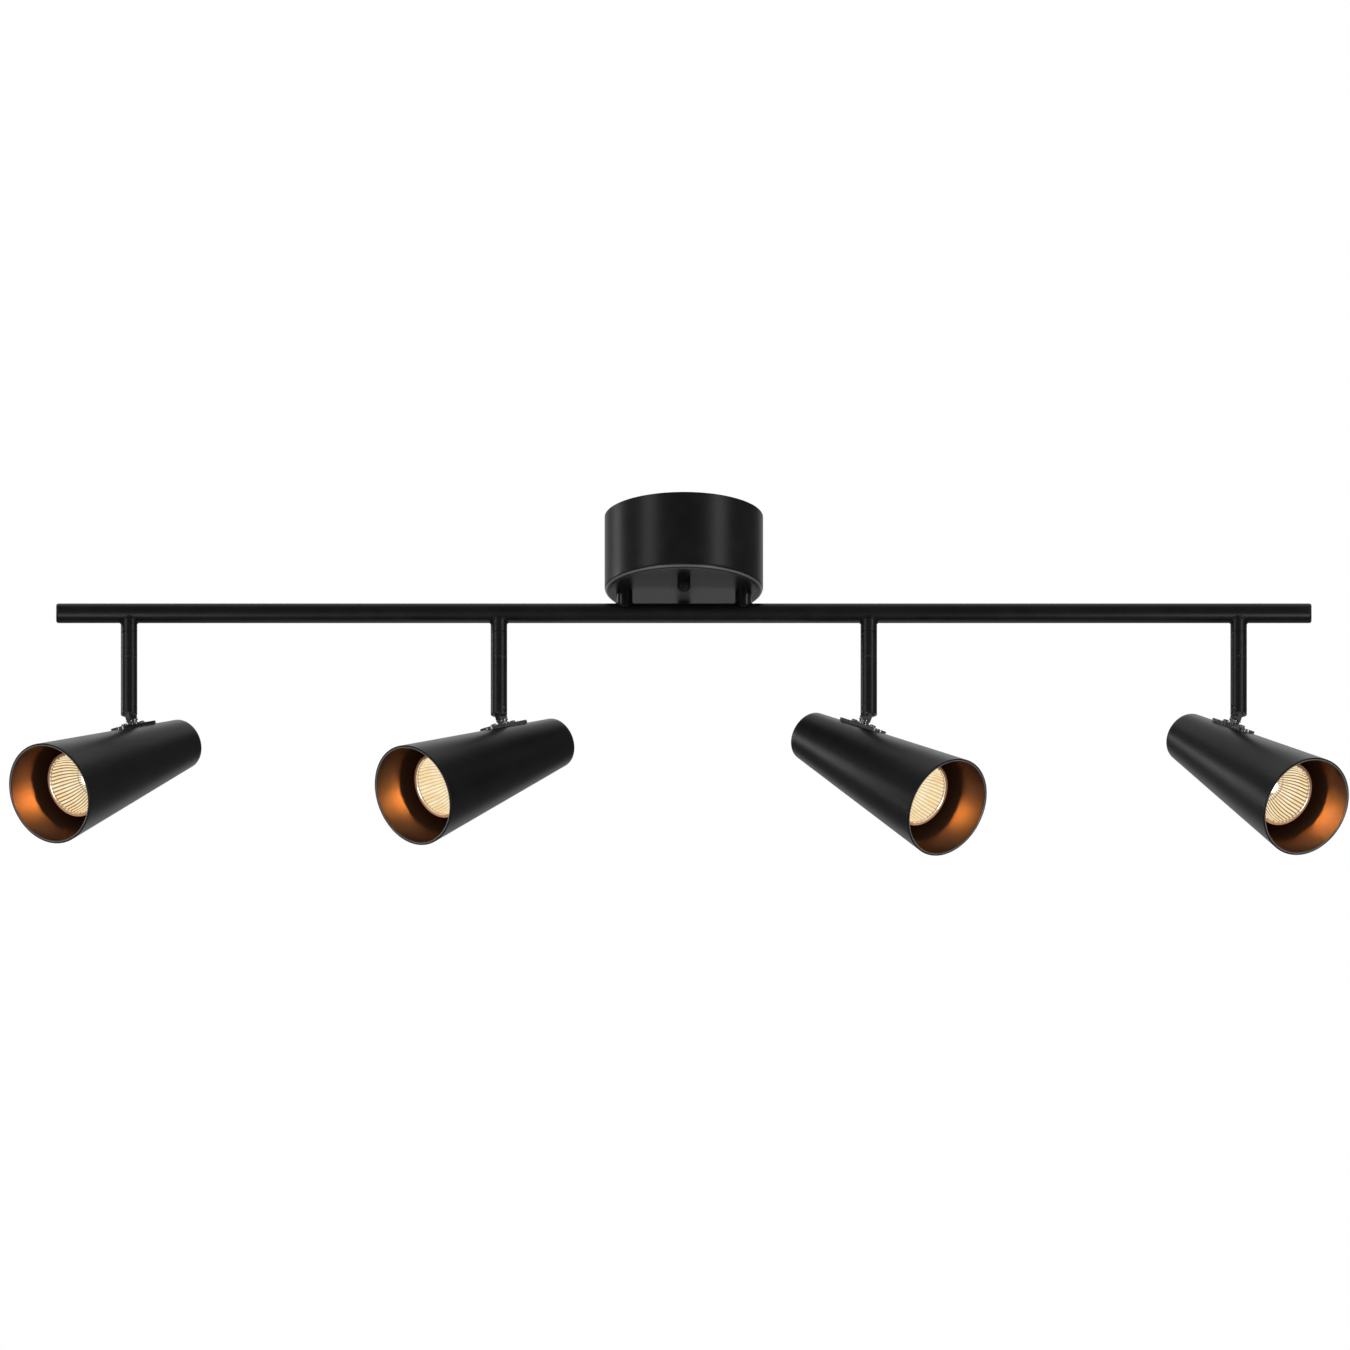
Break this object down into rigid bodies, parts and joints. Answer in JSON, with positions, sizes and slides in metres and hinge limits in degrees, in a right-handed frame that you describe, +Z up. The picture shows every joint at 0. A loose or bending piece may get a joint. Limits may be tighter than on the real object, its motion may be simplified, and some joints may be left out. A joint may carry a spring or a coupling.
{
  "type": "track lighting fixture",
  "caption": "Ceiling spotlight bar: a round canopy carries a straight tube on posts, with conical shades on stems that pan and tilt.",
  "frame": {"origin": "centre of the ceiling plane, between the junction box screws, on the top face of the box strap", "axes": "+X along the bar, +Z up to the ceiling, -Y towards the side that the shades face"},
  "size_m": [1.0142, 0.152, 0.2826],
  "materials": {
    "black_coat": "satin",
    "shade_coat": "satin",
    "black_nickel": "gloss",
    "zinc_steel": "satin",
    "green_screw": "satin",
    "white_plastic": "matte",
    "cable_sheath": "matte",
    "porcelain": "gloss",
    "bulb_glass": "gloss",
    "lens_glass": "gloss"
  },
  "bodies": {
    "canopy_and_bar": {"canopy_cup": "black_coat", "box_strap": "zinc_steel", "canopy_strap": "zinc_steel", "strap_eyelet": "zinc_steel", "earth_screw": "green_screw", "canopy_studs": "zinc_steel", "finial_nuts": "black_coat", "terminal_block": "white_plastic", "terminal_screws": "zinc_steel", "canopy_posts": "black_coat", "post_nuts": "zinc_steel", "bar_tube": "black_coat", "bar_end_caps": "black_coat", "stem_saddles": "black_coat", "swivel_retainers": "zinc_steel", "bar_harness": "cable_sheath"},
    "stem_1": {"swivel_collar_1": "black_coat", "stem_tube_1": "black_coat", "pivot_screw_1": "black_nickel"},
    "head_1": {"knuckle_1": "black_nickel", "mounting_plate_1": "black_coat", "plate_screws_1": "black_nickel", "shade_1": "shade_coat", "lampholder_bracket_1": "zinc_steel", "lampholder_1": "porcelain", "bulb_reflector_1": "bulb_glass", "bulb_lens_1": "lens_glass"},
    "stem_2": {"swivel_collar_2": "black_coat", "stem_tube_2": "black_coat", "pivot_screw_2": "black_nickel"},
    "head_2": {"knuckle_2": "black_nickel", "mounting_plate_2": "black_coat", "plate_screws_2": "black_nickel", "shade_2": "shade_coat", "lampholder_bracket_2": "zinc_steel", "lampholder_2": "porcelain", "bulb_reflector_2": "bulb_glass", "bulb_lens_2": "lens_glass"},
    "stem_3": {"swivel_collar_3": "black_coat", "stem_tube_3": "black_coat", "pivot_screw_3": "black_nickel"},
    "head_3": {"knuckle_3": "black_nickel", "mounting_plate_3": "black_coat", "plate_screws_3": "black_nickel", "shade_3": "shade_coat", "lampholder_bracket_3": "zinc_steel", "lampholder_3": "porcelain", "bulb_reflector_3": "bulb_glass", "bulb_lens_3": "lens_glass"},
    "stem_4": {"swivel_collar_4": "black_coat", "stem_tube_4": "black_coat", "pivot_screw_4": "black_nickel"},
    "head_4": {"knuckle_4": "black_nickel", "mounting_plate_4": "black_coat", "plate_screws_4": "black_nickel", "shade_4": "shade_coat", "lampholder_bracket_4": "zinc_steel", "lampholder_4": "porcelain", "bulb_reflector_4": "bulb_glass", "bulb_lens_4": "lens_glass"}
  },
  "joints": [
    {"name": "pan_1", "type": "hinge", "parent": "canopy_and_bar", "child": "stem_1", "pos_m": [-0.42, 0, -0.0768], "axis": [0, 0, 1], "range_deg": [-175, 175]},
    {"name": "tilt_1", "type": "hinge", "parent": "stem_1", "child": "head_1", "pos_m": [-0.42, 0, -0.153], "axis": [0.7169, -0.6972, 0], "range_deg": [-27.3, 62.7]},
    {"name": "pan_2", "type": "hinge", "parent": "canopy_and_bar", "child": "stem_2", "pos_m": [-0.14, 0, -0.0768], "axis": [0, 0, 1], "range_deg": [-175, 175]},
    {"name": "tilt_2", "type": "hinge", "parent": "stem_2", "child": "head_2", "pos_m": [-0.14, 0, -0.153], "axis": [0.6613, -0.7501, 0], "range_deg": [-27.2, 62.8]},
    {"name": "pan_3", "type": "hinge", "parent": "canopy_and_bar", "child": "stem_3", "pos_m": [0.14, 0, -0.0768], "axis": [0, 0, 1], "range_deg": [-175, 175]},
    {"name": "tilt_3", "type": "hinge", "parent": "stem_3", "child": "head_3", "pos_m": [0.14, 0, -0.153], "axis": [0.6508, 0.7593, 0], "range_deg": [-32.4, 57.6]},
    {"name": "pan_4", "type": "hinge", "parent": "canopy_and_bar", "child": "stem_4", "pos_m": [0.42, 0, -0.0768], "axis": [0, 0, 1], "range_deg": [-175, 175]},
    {"name": "tilt_4", "type": "hinge", "parent": "stem_4", "child": "head_4", "pos_m": [0.42, 0, -0.153], "axis": [0.7443, 0.6678, 0], "range_deg": [-33.4, 56.6]}
  ]
}
